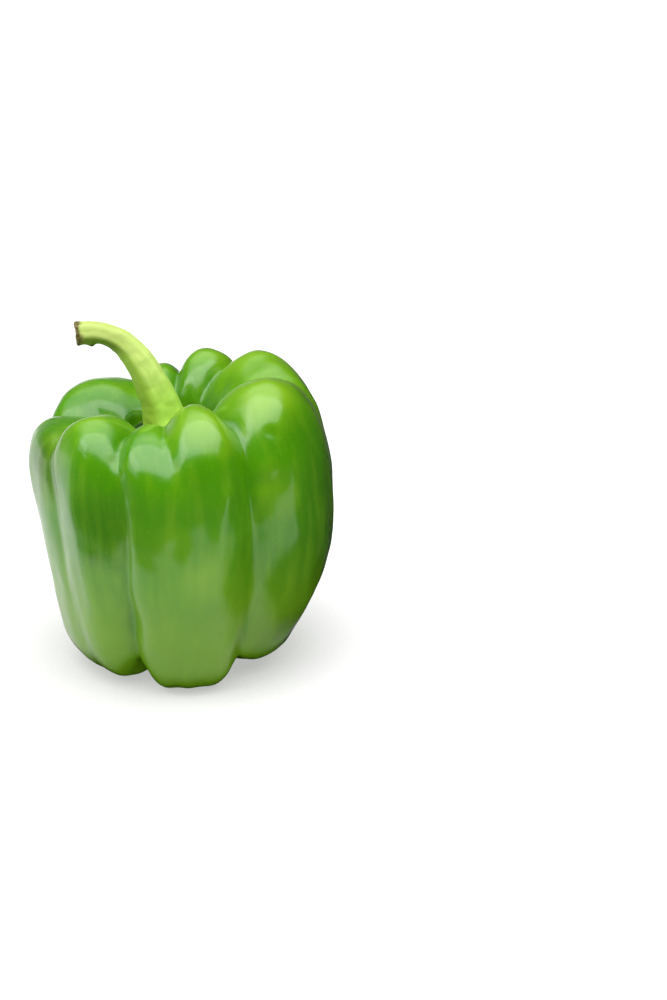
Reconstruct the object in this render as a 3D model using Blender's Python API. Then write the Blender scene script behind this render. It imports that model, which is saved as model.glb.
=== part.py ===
"""Green bell pepper, standing on its four lobes: the fruit, its calyx and its stem.

Metres, +Z up, the front is at -Y. The origin is on the ground, under the middle of the pepper's bounding box.
Bearings are degrees round the fruit's axis, seen from above: 0 is the front, 90 the right, 180 the back.
"""

import math
from collections import namedtuple

import bmesh
import bpy
from mathutils import Vector

GAP = 0.0003  # between two pieces, which on the real pepper have grown together

# Fruit: where it stands, and its stem end and blossom end
FRUIT_AXIS = Vector((-0.0008, 0.0, 0.0))
MOUTH_SHIFT = Vector((-0.003, 0.0, 0.0))  # the stem end leans to the left
CAVITY_FLOOR = 0.0655
CAVITY_RADIUS = 0.013
ANKLE_HEIGHT = 0.012  # where the side turns in to the foot
DIMPLE_HEIGHT = 0.0085
DIMPLE_RADIUS = 0.008
FOOT_PRESS = 0.0006  # the feet are flattened this much where they stand

# How full the surface is: 2 turns like a circle, more is squarer
CAVITY_FULLNESS = 2.1
SHOULDER_FULLNESS = 2.3
FOOT_FULLNESS = 1.85

# How a bulge falls to its grooves: 0 is a soft hollow between two bulges, 1 is a tight crease
CREST_TIGHTNESS = 0.85
SIDE_TIGHTNESS = 0.7
PLAIN_BOXINESS = 2.2

# Round the shoulder from the front left: each groove, then the bulge on its right.
# A groove has its bearings at the crest, the side and the foot, and how far it cuts in at each.
# A bulge has its radius and height at the crest, the side and the foot. Taper is how late the side narrows.
# Boxiness is how flat its crest is along its width, and right tightness is how its side falls to the right.
Groove = namedtuple(
    "Groove", "crest_bearing side_bearing foot_bearing crest_drop side_depth ankle_depth sole_lift"
)
Bulge = namedtuple(
    "Bulge",
    "crest_radius crest_height side_radius side_height ankle_radius taper sole_radius sole_lift"
    " boxiness right_tightness",
    defaults=(PLAIN_BOXINESS, SIDE_TIGHTNESS),
)
SHOULDER = [
    (
        Groove(-24, -21, -25.5, 0.005, 0.0032, 0.0058, 0.0125),
        Bulge(0.026, 0.0782, 0.0425, 0.056, 0.0355, 1.8, 0.022, 0.0, boxiness=4.0),
    ),
    (
        Groove(-2, 1, 1, 0.0045, 0.0002, 0.0, 0.0),
        Bulge(0.026, 0.0842, 0.0428, 0.056, 0.0355, 1.8, 0.022, 0.0002, right_tightness=0.15),
    ),
    (
        Groove(36, 29.5, 30, 0.009, 0.0049, 0.004, 0.008),
        Bulge(0.031, 0.0865, 0.0443, 0.050, 0.034, 2.6, 0.0185, 0.0022),
    ),
    (
        Groove(88, 90, 90, 0.004, 0.001, 0.0005, 0.0005),
        Bulge(0.031, 0.0858, 0.0443, 0.050, 0.034, 2.6, 0.0185, 0.0),
    ),
    (
        Groove(142, 140, 138, 0.007, 0.005, 0.004, 0.007),
        Bulge(0.0285, 0.0832, 0.0430, 0.052, 0.035, 2.0, 0.023, 0.0005, boxiness=3.6),
    ),
    (
        Groove(172, 172, 172, 0.0055, 0.002, 0.0005, 0.0),
        Bulge(0.0265, 0.0797, 0.0425, 0.054, 0.035, 2.0, 0.023, 0.0),
    ),
    (
        Groove(194, 194, 196, 0.005, 0.002, 0.0005, 0.0),
        Bulge(0.030, 0.0760, 0.0435, 0.056, 0.0355, 1.5, 0.023, 0.0),
    ),
    (
        Groove(252, 254, 256, 0.006, 0.005, 0.004, 0.007),
        Bulge(0.030, 0.0730, 0.0417, 0.057, 0.0354, 1.15, 0.0205, 0.0),
    ),
    (
        Groove(299, 301, 301, 0.004, 0.002, 0.0003, 0.0),
        Bulge(0.029, 0.0800, 0.0420, 0.057, 0.0352, 1.35, 0.0195, 0.0003),
    ),
]
GROOVE_TURN = 0.65  # under 1 a groove takes its foot's bearing early on its way down
TIGHT_FALL = 0.75  # a tight crease's power: the lower, the steeper it ends
CREST_PULL = 0.2  # a groove pulls the crest in by this share of its drop there
SOLE_PULL = 0.45  # and the sole by this share of its depth at the ankle
DEGREES_PER_COLUMN = 4.2
COLUMN_CROWDING = 0.4  # how much closer together the columns are near a groove
STEPS_PER_STATION = 2

# Where the lines down the fruit have their points: degrees round each rounded corner, and shares of the way
WALL_ANGLES = (68.0, 45.0, 22.0)
SHOULDER_ANGLES = (22.5, 45.0, 67.5)
SIDE_SHARES = (1.0 / 3.0, 2.0 / 3.0, 1.0)
FOOT_ANGLES = (55.0, 25.0)
SOLE_INNER_SHARE = 0.62  # of the sole's radius, where the sole begins to rise to the dimple
SOLE_INNER_RISE = 0.15  # of the height between sole and dimple
DIMPLE_RIM_DROP = 0.002

# Calyx: a thin six-cornered collar on the cavity's floor, with its edge turned up
CALYX_CENTRE = FRUIT_AXIS + MOUTH_SHIFT + Vector((0.0, 0.0, CAVITY_FLOOR + GAP))
CALYX_RADIUS = 0.0113
CALYX_CORNERS = 6
CALYX_CORNER_REACH = 0.0009
CALYX_HUB_RADIUS = 0.0078
CALYX_HUB_HEIGHT = 0.0026
CALYX_EDGE_HEIGHT = 0.0022
CALYX_COLUMNS = 36

# Stem: stands on the calyx, bends over to the left and ends in a flared, hollow-faced cut
STEM_FOOT = CALYX_CENTRE + Vector((0.0, 0.0, CALYX_HUB_HEIGHT + GAP))
STEM_ROUTE = [
    STEM_FOOT,
    Vector((-0.0048, 0.0002, 0.0716)),
    Vector((-0.0061, 0.0005, 0.0766)),
    Vector((-0.0085, 0.0008, 0.0824)),
    Vector((-0.0110, 0.0008, 0.0874)),
    Vector((-0.0141, 0.0005, 0.0918)),
    Vector((-0.0176, 0.0, 0.0948)),
    Vector((-0.0227, -0.0005, 0.0967)),
    Vector((-0.0280, -0.0010, 0.0966)),
]
STEM_RADII = [0.0072, 0.0060, 0.0053, 0.0046, 0.0041, 0.0036, 0.0032, 0.0030, 0.0033]
STEM_RIBS = 5
STEM_RIB_RELIEF = 0.08  # of the stem's radius
STEM_COLUMNS = 20
STEM_CUT_LIP = 0.0003
STEM_CUT_DEPTH = 0.0005

# Colours, as linear RGB
SKIN_GREEN = (0.09, 0.30, 0.010, 1.0)
CALYX_GREEN = (0.06, 0.17, 0.020, 1.0)
STEM_GREEN = (0.32, 0.52, 0.055, 1.0)


def clear_scene():
    for existing in list(bpy.data.objects):
        bpy.data.objects.remove(existing, do_unlink=True)


def make_material(name, colour, roughness):
    material = bpy.data.materials.new(name)
    material.use_nodes = True
    shader = material.node_tree.nodes["Principled BSDF"]
    shader.inputs["Base Color"].default_value = colour
    shader.inputs["Roughness"].default_value = roughness
    shader.inputs["Metallic"].default_value = 0.0
    return material


def closed_skin(name, first_pole, rings, last_pole, material):
    """A closed smooth object through rings of points, drawn to a point at each end."""
    bm = bmesh.new()
    first = bm.verts.new(first_pole)
    loops = [[bm.verts.new(point) for point in ring] for ring in rings]
    last = bm.verts.new(last_pole)
    columns = len(rings[0])
    for column in range(columns):
        following = (column + 1) % columns
        bm.faces.new((first, loops[0][following], loops[0][column]))
        for upper, lower in zip(loops, loops[1:]):
            bm.faces.new((upper[column], upper[following], lower[following], lower[column]))
        bm.faces.new((last, loops[-1][column], loops[-1][following]))
    bmesh.ops.recalc_face_normals(bm, faces=bm.faces)
    mesh = bpy.data.meshes.new(name)
    bm.to_mesh(mesh)
    bm.free()
    mesh.shade_smooth()
    mesh.materials.append(material)
    piece = bpy.data.objects.new(name, mesh)
    bpy.context.scene.collection.objects.link(piece)
    return piece


def smooth_step(share):
    return share * share * (3.0 - 2.0 * share)


def blend(start, end, share):
    return start + (end - start) * share


def spline_point(before, start, end, after, share):
    """A point on the smooth curve from start to end that heads for the points on either side of them."""
    return 0.5 * (
        2.0 * start
        + (end - before) * share
        + (2.0 * before - 5.0 * start + 4.0 * end - after) * share**2
        + (3.0 * start - before - 3.0 * end + after) * share**3
    )


def spline(points, steps):
    """Smooth curve through the points, with steps to each stretch. It only heads for the first and the last."""
    curve = []
    for before, start, end, after in zip(points, points[1:], points[2:], points[3:]):
        curve += [spline_point(before, start, end, after, step / steps) for step in range(steps)]
    return curve + [points[-2]]


def round_axis(radius, bearing, height, centre):
    angle = math.radians(bearing)
    return centre + Vector((radius * math.sin(angle), -radius * math.cos(angle), height))


def rise(across, boxiness, tightness):
    """How far a bulge stands out of its grooves: 0 at -1 and 1, which are the grooves, and 1 in its middle."""
    across = min(abs(across), 1.0)
    soft = math.cos(math.pi * across / 2.0) ** 2
    tight = (1.0 - across**boxiness) ** TIGHT_FALL
    return blend(soft, tight, tightness)


class Column:
    """The values of the fruit's shape on one line from stem to blossom end, across one bulge."""

    def __init__(self, number, across):
        self.across = across
        self.last_bulge = SHOULDER[number - 1][1]
        self.groove, self.bulge = SHOULDER[number]
        self.next_groove, self.next_bulge = SHOULDER[(number + 1) % len(SHOULDER)]
        self.crest_rise = rise(across, self.bulge.boxiness, CREST_TIGHTNESS)
        tightness = self.bulge.right_tightness if across > 0.0 else SIDE_TIGHTNESS
        self.side_rise = rise(across, PLAIN_BOXINESS, tightness)

    def over(self, left, middle, right, share):
        """A value that is left and right in the two grooves and middle on the bulge, by its share there."""
        low = blend(left, right, smooth_step((self.across + 1.0) / 2.0))
        return blend(low, middle, share)

    def size(self, field, share, cut=lambda groove: 0.0):
        """A size of the bulge, cut back in each groove from the mean of the bulges beside it."""
        last, own, following = (getattr(b, field) for b in (self.last_bulge, self.bulge, self.next_bulge))
        left = (last + own) / 2.0 - cut(self.groove)
        right = (own + following) / 2.0 - cut(self.next_groove)
        return self.over(left, own, right, share)

    def bearing(self, field):
        start = getattr(self.groove, field)
        end = start + (getattr(self.next_groove, field) - start) % 360.0
        return blend(start, end, (self.across + 1.0) / 2.0)

    def sole_height(self):
        lifts = (self.groove.sole_lift, self.bulge.sole_lift, self.next_groove.sole_lift)
        return self.over(*lifts, self.side_rise)


def turn_stations(wide, narrow, high, low, fullness, angles):
    """A rounded corner between a wide, low point and a narrow, high one."""
    for angle in angles:
        out = math.sin(math.radians(angle)) ** (2.0 / fullness)
        up = math.cos(math.radians(angle)) ** (2.0 / fullness)
        yield blend(narrow, wide, out), blend(low, high, up)


def fruit_line(column):
    """The points of one line down the fruit, from the middle of the stem end to that of the blossom end."""
    at_crest, at_side = column.crest_rise, column.side_rise
    crest_radius = column.size("crest_radius", at_crest, lambda groove: groove.crest_drop * CREST_PULL)
    crest_height = column.size("crest_height", at_crest, lambda groove: groove.crest_drop)
    side_radius = column.size("side_radius", at_side, lambda groove: groove.side_depth)
    side_height = column.size("side_height", at_side)
    ankle_radius = column.size("ankle_radius", at_side, lambda groove: groove.ankle_depth)
    sole_radius = column.size("sole_radius", at_side, lambda groove: groove.ankle_depth * SOLE_PULL)
    sole_height = column.sole_height()
    taper = column.size("taper", at_side)
    crest_bearing = column.bearing("crest_bearing")
    side_bearing = column.bearing("side_bearing")
    foot_bearing = column.bearing("foot_bearing")

    mouth = FRUIT_AXIS + MOUTH_SHIFT
    floor_radii = (0.0, CAVITY_RADIUS / 2.0, CAVITY_RADIUS)
    points = [round_axis(radius, crest_bearing, CAVITY_FLOOR, mouth) for radius in floor_radii]
    wall = turn_stations(
        CAVITY_RADIUS, crest_radius, crest_height, CAVITY_FLOOR, CAVITY_FULLNESS, WALL_ANGLES
    )
    points += [round_axis(radius, crest_bearing, height, mouth) for radius, height in wall]
    points.append(round_axis(crest_radius, crest_bearing, crest_height, mouth))

    corner = turn_stations(
        side_radius, crest_radius, crest_height, side_height, SHOULDER_FULLNESS, SHOULDER_ANGLES
    )
    for angle, (radius, height) in zip(SHOULDER_ANGLES, corner):
        lean = FRUIT_AXIS + MOUTH_SHIFT * math.cos(math.radians(angle))
        bearing = blend(crest_bearing, side_bearing, smooth_step(angle / 90.0))
        points.append(round_axis(radius, bearing, height, lean))
    points.append(round_axis(side_radius, side_bearing, side_height, FRUIT_AXIS))

    for share in SIDE_SHARES:
        radius = blend(side_radius, ankle_radius, share**taper)
        bearing = blend(side_bearing, foot_bearing, share**GROOVE_TURN)
        points.append(round_axis(radius, bearing, blend(side_height, ANKLE_HEIGHT, share), FRUIT_AXIS))

    corner = turn_stations(ankle_radius, sole_radius, sole_height, ANKLE_HEIGHT, FOOT_FULLNESS, FOOT_ANGLES)
    points += [round_axis(radius, foot_bearing, height, FRUIT_AXIS) for radius, height in corner]
    points.append(round_axis(sole_radius, foot_bearing, sole_height, FRUIT_AXIS))
    inner_height = blend(sole_height, DIMPLE_HEIGHT, SOLE_INNER_RISE)
    points.append(round_axis(sole_radius * SOLE_INNER_SHARE, foot_bearing, inner_height, FRUIT_AXIS))
    points.append(round_axis(DIMPLE_RADIUS, foot_bearing, DIMPLE_HEIGHT - DIMPLE_RIM_DROP, FRUIT_AXIS))
    points.append(round_axis(0.0, foot_bearing, DIMPLE_HEIGHT, FRUIT_AXIS))
    return points


def mirrored(point, pole):
    """The point on the other side of a pole, at the same height."""
    return Vector((2.0 * pole.x - point.x, 2.0 * pole.y - point.y, point.z))


def stand_on_ground(point):
    """Lowers the feet a little into the ground and flattens what would sink in."""
    return Vector((point.x, point.y, max(point.z - FOOT_PRESS, 0.0)))


def column_places():
    """Each column's bulge and its place across it, closer together near the grooves."""
    for number, (groove, bulge) in enumerate(SHOULDER):
        following = SHOULDER[(number + 1) % len(SHOULDER)][0]
        width = (following.side_bearing - groove.side_bearing) % 360.0
        columns = 2 * round(width / DEGREES_PER_COLUMN / 2.0)
        for step in range(columns):
            even = 2.0 * step / columns - 1.0
            yield number, blend(even, math.sin(math.pi * even / 2.0), COLUMN_CROWDING)


def make_fruit():
    lines = []
    for number, across in column_places():
        points = fruit_line(Column(number, across))
        points = [mirrored(points[1], points[0])] + points + [mirrored(points[-2], points[-1])]
        lines.append([stand_on_ground(point) for point in spline(points, STEPS_PER_STATION)])
    rings = [list(ring) for ring in zip(*lines)]
    skin = make_material("waxy green skin", SKIN_GREEN, 0.28)
    return closed_skin("fruit", rings[0][0], rings[1:-1], rings[-1][0], skin)


def make_calyx():
    """Rings from the middle of the hub over the turned-up edge to the middle of the underside."""
    profile = [
        (CALYX_HUB_RADIUS, 0.0, CALYX_HUB_HEIGHT),
        (CALYX_HUB_RADIUS + 0.0009, 0.2, CALYX_HUB_HEIGHT - 0.0007),
        (CALYX_RADIUS - 0.0012, 0.8, 0.0014),
        (CALYX_RADIUS - 0.0003, 1.0, CALYX_EDGE_HEIGHT),
        (CALYX_RADIUS, 1.0, CALYX_EDGE_HEIGHT),
        (CALYX_RADIUS - 0.0002, 1.0, 0.0011),
        (CALYX_RADIUS - 0.0010, 0.9, 0.0),
    ]
    rings = []
    for radius, corner_share, height in profile:
        ring = []
        for column in range(CALYX_COLUMNS):
            bearing = 360.0 * column / CALYX_COLUMNS
            corner = math.cos(math.radians(CALYX_CORNERS * bearing))
            reach = radius + CALYX_CORNER_REACH * corner_share * corner
            ring.append(round_axis(reach, bearing, height, CALYX_CENTRE))
        rings.append(ring)
    green = make_material("calyx green", CALYX_GREEN, 0.6)
    top = CALYX_CENTRE + Vector((0.0, 0.0, CALYX_HUB_HEIGHT))
    return closed_skin("calyx", top, rings, CALYX_CENTRE, green)


def stem_ring(centre, direction, radius):
    """A ribbed ring of points square to the stem's direction."""
    side = direction.cross(Vector((0.0, 1.0, 0.0))).normalized()
    depth = side.cross(direction).normalized()
    ring = []
    for column in range(STEM_COLUMNS):
        angle = 2.0 * math.pi * column / STEM_COLUMNS
        reach = radius * (1.0 + STEM_RIB_RELIEF * math.cos(STEM_RIBS * angle))
        ring.append(centre + reach * (math.cos(angle) * side + math.sin(angle) * depth))
    return ring


def make_stem():
    route, radii = STEM_ROUTE, STEM_RADII
    below = Vector((route[0].x, route[0].y, 2.0 * route[0].z - route[1].z))
    beyond = 2.0 * route[-1] - route[-2]
    centres = spline([below] + route + [beyond], 2)
    widths = spline([radii[0]] + radii + [radii[-1]], 2)
    directions = [(b - a).normalized() for a, b in zip(centres, centres[1:])]
    directions = [Vector((0.0, 0.0, 1.0))] + directions[1:] + directions[-1:]
    rings = [stem_ring(*values) for values in zip(centres, directions, widths)]
    end, heading, width = centres[-1], directions[-1], widths[-1]
    rings.append(stem_ring(end + STEM_CUT_LIP * heading, heading, width - STEM_CUT_LIP))
    rings.append(stem_ring(end - STEM_CUT_DEPTH * heading, heading, width * 0.55))
    green = make_material("stem green", STEM_GREEN, 0.55)
    return closed_skin("stem", centres[0], rings, end - STEM_CUT_DEPTH * heading, green)


def main():
    clear_scene()
    pepper = bpy.data.objects.new("pepper", None)
    bpy.context.scene.collection.objects.link(pepper)
    for piece in (make_fruit(), make_calyx(), make_stem()):
        piece.parent = pepper


main()
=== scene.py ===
"""Dresses the green bell pepper: its waxy skin, calyx, stem and blossom scar, on a pale floor in soft light.

Metres, +Z up, the front is at -Y. Every piece keeps the place and size of the solid that it stands for.
"""

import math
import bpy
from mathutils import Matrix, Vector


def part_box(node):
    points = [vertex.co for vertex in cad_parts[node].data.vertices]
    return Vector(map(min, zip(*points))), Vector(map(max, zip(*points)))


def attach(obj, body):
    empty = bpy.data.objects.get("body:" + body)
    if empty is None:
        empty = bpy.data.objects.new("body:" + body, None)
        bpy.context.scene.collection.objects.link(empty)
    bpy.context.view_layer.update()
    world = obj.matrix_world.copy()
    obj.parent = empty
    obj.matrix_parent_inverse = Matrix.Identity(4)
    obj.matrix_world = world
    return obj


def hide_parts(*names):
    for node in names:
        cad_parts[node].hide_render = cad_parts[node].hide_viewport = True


bl_info = {
    "name": "Bell Pepper",
    "version": (1, 0, 0),
    "blender": (4, 5, 0),
    "location": "View3D > Sidebar > Bell Pepper",
    "description": "Models and finishes a green bell pepper on a pale studio floor",
    "category": "Add Mesh",
}

from collections import namedtuple

import bpy
import numpy as np
from bpy.props import FloatProperty, FloatVectorProperty, IntProperty, PointerProperty, StringProperty
from mathutils import Vector, noise

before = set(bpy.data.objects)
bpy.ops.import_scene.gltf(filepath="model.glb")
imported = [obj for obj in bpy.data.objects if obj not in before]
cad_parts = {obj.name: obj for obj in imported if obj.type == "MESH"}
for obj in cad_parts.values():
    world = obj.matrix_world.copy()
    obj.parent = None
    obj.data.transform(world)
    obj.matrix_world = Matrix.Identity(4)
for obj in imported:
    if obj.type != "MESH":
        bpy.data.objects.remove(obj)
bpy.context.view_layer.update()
CALYX_LOW, CALYX_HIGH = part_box("calyx")
STEM_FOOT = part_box("stem")[0].z

PEPPER_MIDDLE = Vector((0.0, 0.0, 0.045))  # the camera's distance is measured from here
WELD_DISTANCE = 0.000001
WHITE = "#FFFFFF"

# The numbers of the sockets on a node that mixes two colours
SHARE, FIRST, SECOND = 0, 6, 7
MIXED = 2

# The skin mirrors only the near part of the floor, up to these corners. Past them it mirrors the dim room
FLOOR_REACH = 8.0
NEAR_FLOOR = [
    (-0.105, -0.046),
    (-0.08, -0.072),
    (-0.05, -0.079),
    (-0.02, -0.105),
    (0.00, -0.130),
    (0.06, -0.165),
    (0.13, -0.175),
    (0.80, -0.50),
    (0.80, -0.39),
    (0.15, -0.10),
    (0.13, -0.04),
    (0.10, 0.0),
    (0.06, 0.04),
    (0.03, 0.04),
    (0.03, FLOOR_REACH),
    (-FLOOR_REACH, FLOOR_REACH),
    (-FLOOR_REACH, 0.1),
    (-0.105, 0.0),
]
FLOOR_STEP = 0.0001  # the far floor lies lower than the near one

SENSOR = 36.0  # mm along the frame's long side

Softbox = namedtuple("Softbox", "name place target width height power")
SOFTBOXES = [
    Softbox("overhead softbox", (-0.05, -0.42, 0.9), (-0.05, -0.42, 0.0), 2.3, 1.1, 15.8),
    Softbox("left softbox", (-0.72, -0.36, 0.62), (0.0, 0.0, 0.05), 0.6, 0.6, 1.8),
]

FLUTE_STRETCH = 8.0  # a flute is this many times longer than wide

# Single marks of this fruit: how far each stands out, or in where that is below 0, its half width, and its
# route over the skin
Mark = namedtuple("Mark", "height half_width route")
SKIN_MARKS = [
    Mark(0.0004, 0.0018, [(0.012, -0.0395, 0.0627), (0.010, -0.041, 0.0566), (0.009, -0.0407, 0.045)]),
    Mark(-0.0005, 0.0014, [(-0.0184, -0.0327, 0.0707), (-0.0201, -0.0351, 0.0652)]),
    Mark(0.0005, 0.0030, [(-0.0290, -0.0300, 0.0600), (-0.0275, -0.0300, 0.0300)]),
    Mark(-0.0003, 0.0012, [(0.0231, -0.0273, 0.0759), (0.0252, -0.0272, 0.0750)]),
    Mark(-0.0004, 0.0022, [(0.0208, -0.0326, 0.0629), (0.0250, -0.0320, 0.0635)]),
    Mark(0.0004, 0.0018, [(-0.0140, -0.0385, 0.0600), (-0.0130, -0.0380, 0.0430)]),
    Mark(-0.0005, 0.0050, [(0.0330, -0.0150, 0.0600), (0.0350, -0.0120, 0.0350)]),
    Mark(-0.0008, 0.0050, [(0.0390, 0.0120, 0.0580), (0.0370, 0.0140, 0.0300)]),
    Mark(-0.0008, 0.0045, [(0.0120, 0.0400, 0.0600), (0.0110, 0.0380, 0.0250)]),
    Mark(0.0005, 0.0040, [(-0.0080, 0.0410, 0.0560), (-0.0090, 0.0380, 0.0300)]),
    Mark(-0.0008, 0.0050, [(-0.0300, 0.0270, 0.0600), (-0.0280, 0.0260, 0.0350)]),
]

# Painted shade and painted dark reflections: darker skin where the fruit gets little light or mirrors
# something dark. The middle of each, its reach, and how far it darkens
Patch = namedtuple("Patch", "middle reach share")
PAINTED_SHADE_PATCHES = [
    Patch((0.0410, -0.0070, 0.0450), 0.0250, 0.75),
    Patch((0.0290, -0.0180, 0.0130), 0.0140, 0.5),
    Patch((-0.0385, -0.0150, 0.0650), 0.0100, 0.7),
    Patch((-0.0215, -0.0340, 0.0520), 0.0110, 0.4),
    Patch((-0.0240, -0.0335, 0.0440), 0.0040, 0.5),
    Patch((-0.0190, -0.0350, 0.0420), 0.0030, 0.4),
    Patch((0.0350, 0.0240, 0.0350), 0.0150, 0.5),
    Patch((-0.0100, 0.0400, 0.0550), 0.0120, 0.4),
]

DIMPLE = Vector((-0.0008, 0.0, -0.01))  # straight below the dimple in the underside

# The stem's centreline, from the calyx to the cut end
STEM_ROUTE = [
    (-0.0038, 0.0, STEM_FOOT),
    (-0.0048, 0.0002, 0.0716),
    (-0.0061, 0.0005, 0.0766),
    (-0.0085, 0.0008, 0.0824),
    (-0.0110, 0.0008, 0.0874),
    (-0.0141, 0.0005, 0.0918),
    (-0.0176, 0.0, 0.0948),
    (-0.0227, -0.0005, 0.0967),
    (-0.0280, -0.0010, 0.0966),
]
STEM_STEPS = 24  # samples to each stretch of the route

# The swollen scar under the stem, before its cut end
SCAR_TURN = -0.35  # its bearing round the stem, in radians
SCAR_ARM = 0.003  # the stem's radius there
SCAR_RADIUS = 0.0016
SCAR_HEIGHT = 0.0009
SCAR_EDGE = (0.55, 0.95)  # shares of its height where its colour starts and is full

# The torn cut end, the dried skin before it and the pith inside
TORN_LENGTH = 0.0012
TEAR_WIDTH = 0.0009
TEAR_HEIGHT = 0.0004
DRY_START, DRY_FULL = 0.0022, 0.0008  # lengths before the cut end
DRY_WAVE, DRY_SWING = 0.0022, 0.0014  # how broad the waves in the dry edge are, and how far they reach
PITH_RADIUS, PITH_FADE = 0.0020, 0.0027

# The stem's inner, lower face, which is darkened with painted shade, and its foot, which grows into the calyx
UNDER_TURN = -0.2  # its bearing round the stem, in radians
UNDERSIDE_SHADE_SHARE = 0.9
UNDER_EDGE = (0.15, 0.6)  # cosines of the angle from there, where it starts to show and shows fully
FOOT_REACH = 0.0012
FOOT_DEPTH = 0.0009

# The collar: its middle, and each corner's bearing in degrees with its reach
CALYX_MIDDLE = (CALYX_LOW + CALYX_HIGH) / 2.0
CALYX_CORNERS = [(4, 0.0119), (60, 0.0117), (119, 0.0121), (184, 0.0116), (239, 0.0119), (301, 0.0121)]
CALYX_COLUMNS = 96
CORNER_WIDTH = math.radians(9.0)

# Its rings from the hub over the edge to the underside: radius, height, and how far each follows the corners
CALYX_RINGS = [
    (0.0040, 0.0027, 0.0),
    (0.0074, 0.0026, 0.1),
    (0.0082, 0.0017, 0.3),
    (0.0092, 0.0010, 0.7),
    (0.0102, 0.0013, 1.0),
    (0.0107, 0.0020, 1.0),
    (0.0109, 0.0022, 1.0),
    (0.0112, 0.0022, 1.0),
    (0.0113, 0.0018, 1.0),
    (0.0108, 0.0006, 1.0),
    (0.0096, -0.0006, 0.9),
    (0.0060, -0.0007, 0.0),
]
CALYX_FACE = 0.0008  # the rings above this height turn up at the corners

# Waves in the collar's edge: their count round it, where they start, and how much of the reach they take off
CALYX_WAVES = [(5, 0.4, 0.012), (11, 2.1, 0.010), (19, 0.9, 0.007)]

# The corky rim starts and is full at these heights, and at these shares of the collar's reach
RIM_HEIGHTS = (0.0014, 0.0019)
RIM_SHARES = (0.91, 0.955)


def linear(colour):
    """An sRGB hex colour as linear RGBA."""
    channels = [int(colour[i : i + 2], 16) / 255.0 for i in (1, 3, 5)]
    return [c / 12.92 if c <= 0.04045 else ((c + 0.055) / 1.055) ** 2.4 for c in channels] + [1.0]


def put(tree, kind, links=(), **settings):
    """Adds a node with its settings. links gives each input a value, or the output that feeds it.

    An input goes by its name, or by its number where others share that name.
    """
    node = tree.nodes.new(kind)
    for key, value in settings.items():
        setattr(node, key, value)
    for socket, source in dict(links).items():
        if isinstance(source, bpy.types.NodeSocket):
            tree.links.new(source, node.inputs[socket])
        else:
            node.inputs[socket].default_value = source
    return node


def ramp(node, *stops):
    """Sets a colour ramp's stops, each a place and a hex colour."""
    elements = node.color_ramp.elements
    while len(elements) < len(stops):
        elements.new(0.5)
    for element, (place, colour) in zip(elements, stops):
        element.position = place
        element.color = linear(colour)
    return node


def new_material(name, finish):
    """A material with its tree and its shader. finish holds what is the same all over its surface."""
    material = bpy.data.materials.new(name)
    material.use_nodes = True
    tree = material.node_tree
    tree.nodes.clear()
    shader = put(tree, "ShaderNodeBsdfPrincipled", finish)
    put(tree, "ShaderNodeOutputMaterial", {"Surface": shader.outputs["BSDF"]})
    return material, tree, shader


def select_only(piece):
    bpy.ops.object.select_all(action="DESELECT")
    piece.select_set(True)
    bpy.context.view_layer.objects.active = piece


def shape_with(piece, kind, **settings):
    """Adds a modifier to the piece and applies it."""
    modifier = piece.modifiers.new(kind.title(), kind)
    for key, value in settings.items():
        setattr(modifier, key, value)
    select_only(piece)
    bpy.ops.object.modifier_apply(modifier=modifier.name)


def welded_copy(node, name):
    """A copy of a solid as one welded skin of quads."""
    piece = bpy.data.objects.new(name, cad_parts[node].data.copy())
    bpy.context.scene.collection.objects.link(piece)
    piece.data.name = name
    piece.data.materials.clear()
    select_only(piece)
    bpy.ops.object.mode_set(mode="EDIT")
    bpy.ops.mesh.select_all(action="SELECT")
    bpy.ops.mesh.customdata_custom_splitnormals_clear()
    bpy.ops.mesh.remove_doubles(threshold=WELD_DISTANCE)
    bpy.ops.mesh.tris_convert_to_quads(face_threshold=math.radians(60), shape_threshold=math.radians(70))
    bpy.ops.object.mode_set(mode="OBJECT")
    bpy.ops.object.shade_smooth()
    return piece


def points_of(mesh, field="co"):
    """The vertices' places or normals as an array of rows."""
    values = np.empty(len(mesh.vertices) * 3)
    mesh.vertices.foreach_get(field, values)
    return values.reshape(-1, 3)


def move_points(mesh, points):
    mesh.vertices.foreach_set("co", points.ravel())
    mesh.update()


def store(mesh, name, values):
    """Keeps a number, or a row of three, on each vertex for the materials."""
    kind = "FLOAT" if values.ndim == 1 else "FLOAT_VECTOR"
    attribute = mesh.attributes.new(name, kind, "POINT")
    attribute.data.foreach_set("value" if kind == "FLOAT" else "vector", values.astype(np.float32).ravel())


def averaged(mesh, values, passes):
    """Values on the vertices, blurred over the mesh by averaging each with its neighbours."""
    pairs = np.empty(len(mesh.edges) * 2, dtype=int)
    mesh.edges.foreach_get("vertices", pairs)
    first, second = pairs.reshape(-1, 2).T
    count = len(mesh.vertices)
    weight = 1.0 + np.bincount(first, minlength=count) + np.bincount(second, minlength=count)
    for _ in range(passes):
        total = values.copy()
        for axis in range(values.shape[1]):
            total[:, axis] += np.bincount(first, values[second, axis], count)
            total[:, axis] += np.bincount(second, values[first, axis], count)
        values = total / weight[:, None]
    return values


def store_hollows(mesh, name, passes, depth):
    """Keeps on each vertex how far it lies in a hollow: 1 at the given depth, -1 as far out on a ridge."""
    here = points_of(mesh)
    below = ((averaged(mesh, here, passes) - here) * points_of(mesh, "normal")).sum(1)
    store(mesh, name, np.clip(below / depth, -1.0, 1.0))


def smooth_step(low, high, values):
    share = np.clip((values - low) / (high - low), 0.0, 1.0)
    return share * share * (3.0 - 2.0 * share)


def hand_over(piece, node, material):
    """Gives the piece its finish and the pepper's one body, and hides the solid that it stands for, if any.
    """
    piece.data.materials.append(material)
    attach(piece, "root")
    if node:
        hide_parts(node)


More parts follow.
